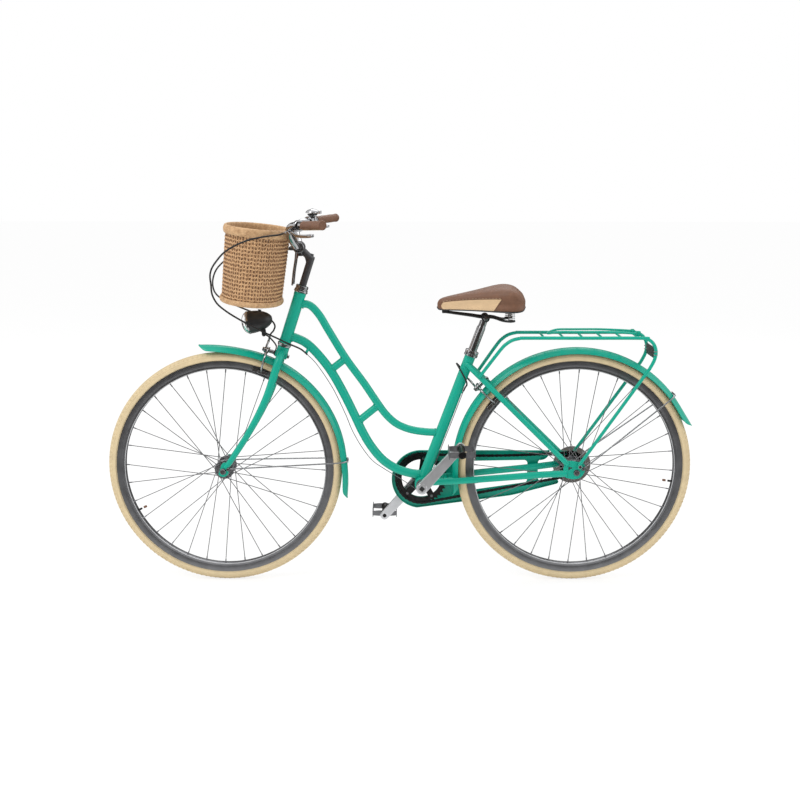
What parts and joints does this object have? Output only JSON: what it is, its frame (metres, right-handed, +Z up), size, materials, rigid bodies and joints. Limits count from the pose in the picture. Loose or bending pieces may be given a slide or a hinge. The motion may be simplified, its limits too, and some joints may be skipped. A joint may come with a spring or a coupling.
{
  "type": "step-through city bicycle",
  "caption": "Step-through city bicycle with swan-neck twin tubes, wicker basket, swept bar, mudguards, rear carrier, chain guard, sprung saddle and side-pull brakes.",
  "frame": {"origin": "on the ground plane under the tyres, midway between the two wheel axles along the bicycle, in its middle plane", "axes": "+Z up, -X ahead (the way it rides), +X behind, +Y the rider's right (drive side), -Y the rider's left"},
  "size_m": [1.74, 0.6512, 1.1093],
  "materials": {
    "green_paint": "gloss enamel",
    "cream_rubber": "matt moulded rubber",
    "black_plastic": "satin moulded",
    "chrome": "polished plate",
    "alloy": "satin",
    "dark_steel": "oiled dark steel",
    "brown_leather": "smooth stitched hide",
    "wicker": "woven cane",
    "clear_lens": "clear moulded",
    "clear_plastic": "clear moulded"
  },
  "bodies": {
    "frame": {"frame": "green_paint", "headset_upper_cup": "chrome", "headset_lower_cup": "chrome", "rear_mudguard": "green_paint", "rear_mudguard_stay": "alloy", "bottom_bracket_cartridge": "alloy", "carrier": "green_paint", "seat_post_collar": "chrome", "rear_brake_bolt": "chrome", "chain_guard": "green_paint", "chain": "dark_steel", "rear_axle": "dark_steel", "rear_brake_cable": "black_plastic"},
    "steering": {"fork": "green_paint", "headset_locknut": "chrome", "front_mudguard": "green_paint", "front_mudguard_stay": "alloy", "front_brake_bolt": "chrome", "headlight_bracket": "black_plastic", "stem": "alloy", "handlebar": "chrome", "bell": "chrome", "basket": "wicker", "basket_bracket": "chrome", "front_axle": "dark_steel", "front_brake_cable": "black_plastic", "grip_left": "brown_leather", "grip_right": "brown_leather", "brake_perch_left": "chrome", "brake_perch_right": "chrome"},
    "headlight": {"headlight_housing": "black_plastic", "headlight_lens": "clear_lens"},
    "bell_striker": {"bell_striker": "chrome"},
    "front_wheel": {"front_tyre": "cream_rubber", "front_inner_tube": "black_plastic", "front_rim": "alloy", "front_hub_and_spokes": "alloy"},
    "rear_wheel": {"rear_tyre": "cream_rubber", "rear_inner_tube": "black_plastic", "rear_rim": "alloy", "rear_hub_and_spokes": "alloy", "spoke_protector": "clear_plastic"},
    "sprocket": {"rear_sprocket": "dark_steel"},
    "cranks": {"crank_spindle": "dark_steel", "crank_left": "alloy", "crank_right": "alloy"},
    "pedal_left": {"pedal_left": "dark_steel"},
    "pedal_right": {"pedal_right": "dark_steel"},
    "brake_lever_left": {"brake_lever_left": "chrome"},
    "brake_lever_right": {"brake_lever_right": "chrome"},
    "front_brake_arm_left": {"front_brake_arm_left": "chrome"},
    "front_brake_arm_right": {"front_brake_arm_right": "chrome"},
    "rear_brake_arm_left": {"rear_brake_arm_left": "chrome"},
    "rear_brake_arm_right": {"rear_brake_arm_right": "chrome"},
    "seat_post": {"seat_post": "chrome"},
    "saddle": {"saddle_frame": "black_plastic", "saddle_spring_left": "chrome", "saddle_spring_right": "chrome"},
    "saddle_top": {"saddle_cushion": "brown_leather"},
    "carrier_clip": {"carrier_clip": "green_paint"}
  },
  "joints": [
    {"name": "steering", "type": "hinge", "parent": "frame", "child": "steering", "pos_m": [-0.3368, 0, 0.72498], "axis": [0.309, 0, 0.9511], "range_deg": [-60, 60], "deforming": ["rear_brake_cable"]},
    {"name": "front_wheel_spin", "type": "hinge", "parent": "steering", "child": "front_wheel", "pos_m": [-0.521, 0, 0.349], "axis": [0, 1, 0], "continuous": true},
    {"name": "rear_wheel_spin", "type": "hinge", "parent": "frame", "child": "rear_wheel", "pos_m": [0.521, 0, 0.349], "axis": [0, 1, 0], "continuous": true},
    {"name": "crank_spin", "type": "hinge", "parent": "frame", "child": "cranks", "pos_m": [0.066, 0, 0.303], "axis": [0, 1, 0], "continuous": true, "deforming": ["chain"]},
    {"name": "sprocket_spin", "type": "hinge", "parent": "frame", "child": "sprocket", "pos_m": [0.521, 0, 0.349], "axis": [0, 1, 0], "continuous": true},
    {"name": "pedal_left_spin", "type": "hinge", "parent": "cranks", "child": "pedal_left", "pos_m": [0.17841, 0, 0.42785], "axis": [0, 1, 0], "continuous": true},
    {"name": "pedal_right_spin", "type": "hinge", "parent": "cranks", "child": "pedal_right", "pos_m": [-0.04641, 0, 0.17815], "axis": [0, 1, 0], "continuous": true},
    {"name": "brake_lever_left", "type": "hinge", "parent": "steering", "child": "brake_lever_left", "pos_m": [-0.29718, -0.18832, 1.05535], "axis": [-0.6116, -0.2999, 0.7321], "range_deg": [0, 7], "stiffness_Nm_per_rad": 2, "springref_deg": -5.73},
    {"name": "brake_lever_right", "type": "hinge", "parent": "steering", "child": "brake_lever_right", "pos_m": [-0.29718, 0.18832, 1.05535], "axis": [0.6116, -0.2999, -0.7321], "range_deg": [0, 7], "stiffness_Nm_per_rad": 2, "springref_deg": -5.73},
    {"name": "front_brake_arm_right", "type": "hinge", "parent": "steering", "child": "front_brake_arm_right", "pos_m": [-0.34808, 0, 0.69027], "axis": [-0.9511, 0, 0.309], "range_deg": [0, 2]},
    {"name": "rear_brake_arm_right", "type": "hinge", "parent": "frame", "child": "rear_brake_arm_right", "pos_m": [0.25093, 0, 0.61347], "axis": [-0.6997, 0, -0.7145], "range_deg": [0, 2]},
    {"name": "front_brake_arm_left", "type": "hinge", "parent": "steering", "child": "front_brake_arm_left", "pos_m": [-0.34808, 0, 0.69027], "axis": [0.9511, 0, -0.309], "range_deg": [0, 2]},
    {"name": "rear_brake_arm_left", "type": "hinge", "parent": "frame", "child": "rear_brake_arm_left", "pos_m": [0.25093, 0, 0.61347], "axis": [0.6997, 0, 0.7145], "range_deg": [0, 2]},
    {"name": "seat_height", "type": "slide", "parent": "frame", "child": "seat_post", "axis": [0.3469, 0, 0.9379], "range_m": [-0.02, 0.06]},
    {"name": "saddle_tilt", "type": "hinge", "parent": "seat_post", "child": "saddle", "pos_m": [0.24988, 0, 0.80008], "axis": [0, 1, 0], "range_deg": [-8, 8]},
    {"name": "saddle_flex", "type": "hinge", "parent": "saddle", "child": "saddle_top", "pos_m": [0.142, 0, 0.824], "axis": [0, 1, 0], "range_deg": [0, 4], "stiffness_Nm_per_rad": 400, "springref_deg": -0.57, "deforming": ["saddle_spring_left", "saddle_spring_right"]},
    {"name": "bell_striker", "type": "hinge", "parent": "steering", "child": "bell_striker", "pos_m": [-0.25589, 0.18769, 1.07218], "axis": [-0.0205, -0.0373, 0.9991], "range_deg": [0, 25], "stiffness_Nm_per_rad": 0.02, "springref_deg": -11.46},
    {"name": "clip_lift", "type": "hinge", "parent": "frame", "child": "carrier_clip", "pos_m": [0.69, 0, 0.7565], "axis": [0, 1, 0], "range_deg": [0, 70], "stiffness_Nm_per_rad": 0.3, "springref_deg": -17.19},
    {"name": "headlight_tilt", "type": "hinge", "parent": "steering", "child": "headlight", "pos_m": [-0.39702, 0, 0.75096], "axis": [0, 1, 0], "range_deg": [-10, 10]}
  ],
  "couplings": [
    {"joint": "sprocket_spin", "follows": "crank_spin", "ratio": 2.1111},
    {"joint": "front_brake_arm_right", "follows": "brake_lever_right", "ratio": 0.2857},
    {"joint": "front_brake_arm_left", "follows": "brake_lever_right", "ratio": 0.2857},
    {"joint": "rear_brake_arm_right", "follows": "brake_lever_left", "ratio": 0.2857},
    {"joint": "rear_brake_arm_left", "follows": "brake_lever_left", "ratio": 0.2857}
  ]
}
